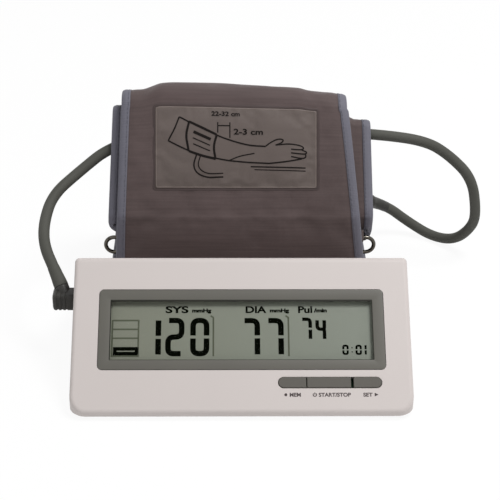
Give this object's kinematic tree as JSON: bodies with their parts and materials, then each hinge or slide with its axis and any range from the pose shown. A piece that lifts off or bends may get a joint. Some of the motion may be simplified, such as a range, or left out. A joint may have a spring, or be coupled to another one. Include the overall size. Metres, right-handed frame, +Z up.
{
  "type": "upper-arm blood pressure monitor",
  "caption": "Wedge-shaped desk blood pressure monitor with a display and a button bar, joined by an air hose to a wrapped fabric arm cuff with a wire ring.",
  "frame": {"origin": "middle of the desk unit's footprint, on the table its rubber feet stand on", "axes": "+X to the right and +Z up as a user faces the display; +Y runs back from the low front edge of the panel through the arm cuff"},
  "size_m": [0.249, 0.1882, 0.1092],
  "materials": {
    "case_shell": "fine satin, warm light grey-white",
    "screw_steel": "zinc plated",
    "foot_rubber": "matt dark rubber",
    "window_clear": "clear, polished",
    "window_border": "printed mid grey seen through the window",
    "display_cell": "grey-green liquid crystal with dark segments",
    "display_back": "pale grey-green film",
    "display_frame": "natural white moulding",
    "contact_rubber": "striped conductive rubber",
    "board_green": "green solder mask",
    "switch_black": "black moulding",
    "sensor_grey": "light grey moulding",
    "contact_metal": "nickel plated",
    "cell_jacket": "plain dark grey jacket with bare ends",
    "motor_steel": "plated can",
    "rotor_steel": "bare laminations and shaft",
    "sleeve_foam": "dark foam",
    "pump_plastic": "black moulding",
    "pump_rubber": "soft black rubber",
    "air_fitting": "dark grey moulding",
    "seal_rubber": "black rubber",
    "valve_steel": "plated frame",
    "coil_copper": "enamelled copper winding",
    "plunger_steel": "turned iron",
    "tube_silicone": "milky silicone",
    "button_grey": "dark warm grey, satin",
    "plunger_plastic": "black switch stem",
    "cuff_nylon": "fine woven nylon, grey-brown",
    "cuff_lining": "smooth cream lining cloth",
    "bladder_film": "thin welded film",
    "foam_sheet": "thin foam",
    "edge_tape": "ribbed blue-grey tape",
    "ring_wire": "dark plated wire",
    "pile_loop": "soft pile",
    "hook_tape": "moulded hooks",
    "label_print": "printed coated cloth with dark print",
    "port_plastic": "soft dark moulding",
    "hose_rubber": "satin mid grey",
    "plug_plastic": "near-black moulding"
  },
  "bodies": {
    "monitor": {"upper_case": "case_shell", "lower_case": "case_shell", "case_screws": "screw_steel", "board_screws": "screw_steel", "rubber_feet": "foot_rubber", "display_lens": "window_clear", "lens_border": "window_border", "lcd_glass": "display_cell", "lcd_reflector": "display_back", "lcd_holder": "display_frame", "zebra_strips": "contact_rubber", "main_board": "board_green", "tact_switches": "switch_black", "buzzer": "switch_black", "main_chip": "switch_black", "pressure_sensor": "sensor_grey", "battery_springs": "contact_metal", "battery_contacts": "contact_metal", "battery_cells": "cell_jacket", "pump_motor_can": "motor_steel", "pump_sleeve": "sleeve_foam", "pump_head": "pump_plastic", "pump_drive_plate": "pump_plastic", "pump_diaphragm": "pump_rubber", "air_socket": "air_fitting", "air_manifold": "air_fitting", "socket_seal": "seal_rubber", "valve_body": "valve_steel", "valve_coil": "coil_copper", "pump_tube": "tube_silicone", "sensor_tube": "tube_silicone"},
    "memory_button": {"memory_button": "button_grey", "memory_plunger": "plunger_plastic"},
    "start_stop_button": {"start_stop_button": "button_grey", "start_stop_plunger": "plunger_plastic"},
    "set_button": {"set_button": "button_grey", "set_plunger": "plunger_plastic"},
    "battery_cover": {"battery_cover": "case_shell"},
    "pump_rotor": {"pump_rotor": "rotor_steel"},
    "valve_plunger": {"valve_plunger": "plunger_steel"},
    "cuff_assembly": {"cuff_outer_cloth": "cuff_nylon", "cuff_lining": "cuff_lining", "air_bladder": "bladder_film", "flap_foam": "foam_sheet", "binding_left": "edge_tape", "binding_right": "edge_tape", "flap_binding_left": "edge_tape", "flap_binding_right": "edge_tape", "ring_hem": "edge_tape", "loop_patch": "pile_loop", "hook_patch": "hook_tape", "cuff_label": "label_print", "hose_port": "port_plastic", "air_hose": "hose_rubber", "hose_plug": "plug_plastic", "plug_spigot": "plug_plastic"},
    "cuff_ring": {"cuff_ring": "ring_wire"}
  },
  "joints": [
    {"name": "memory_press", "type": "slide", "parent": "monitor", "child": "memory_button", "axis": [0, 0.6157, -0.788], "range_m": [0, 0.0005], "stiffness_N_per_m": 2000, "springref_m": -0.0005},
    {"name": "start_stop_press", "type": "slide", "parent": "monitor", "child": "start_stop_button", "axis": [0, 0.6157, -0.788], "range_m": [0, 0.0005], "stiffness_N_per_m": 2000, "springref_m": -0.0005},
    {"name": "set_press", "type": "slide", "parent": "monitor", "child": "set_button", "axis": [0, 0.6157, -0.788], "range_m": [0, 0.0005], "stiffness_N_per_m": 2000, "springref_m": -0.0005},
    {"name": "battery_cover_slide", "type": "slide", "parent": "monitor", "child": "battery_cover", "axis": [1, 0, 0], "range_m": [0, 0.06]},
    {"name": "pump_rotor_spin", "type": "hinge", "parent": "monitor", "child": "pump_rotor", "pos_m": [-0.021, 0.01702, 0.0185], "axis": [1, 0, 0], "continuous": true},
    {"name": "valve_close", "type": "slide", "parent": "monitor", "child": "valve_plunger", "axis": [0, -1, 0], "range_m": [0, 0.0006], "stiffness_N_per_m": 500, "springref_m": -0.0006},
    {"name": "plug_pull", "type": "slide", "parent": "monitor", "child": "cuff_assembly", "axis": [-1, 0, 0], "range_m": [0, 0.02]},
    {"name": "ring_swing", "type": "hinge", "parent": "cuff_assembly", "child": "cuff_ring", "pos_m": [0, 0.06855, 0.03417], "axis": [1, 0, 0], "range_deg": [-8, 60]}
  ]
}
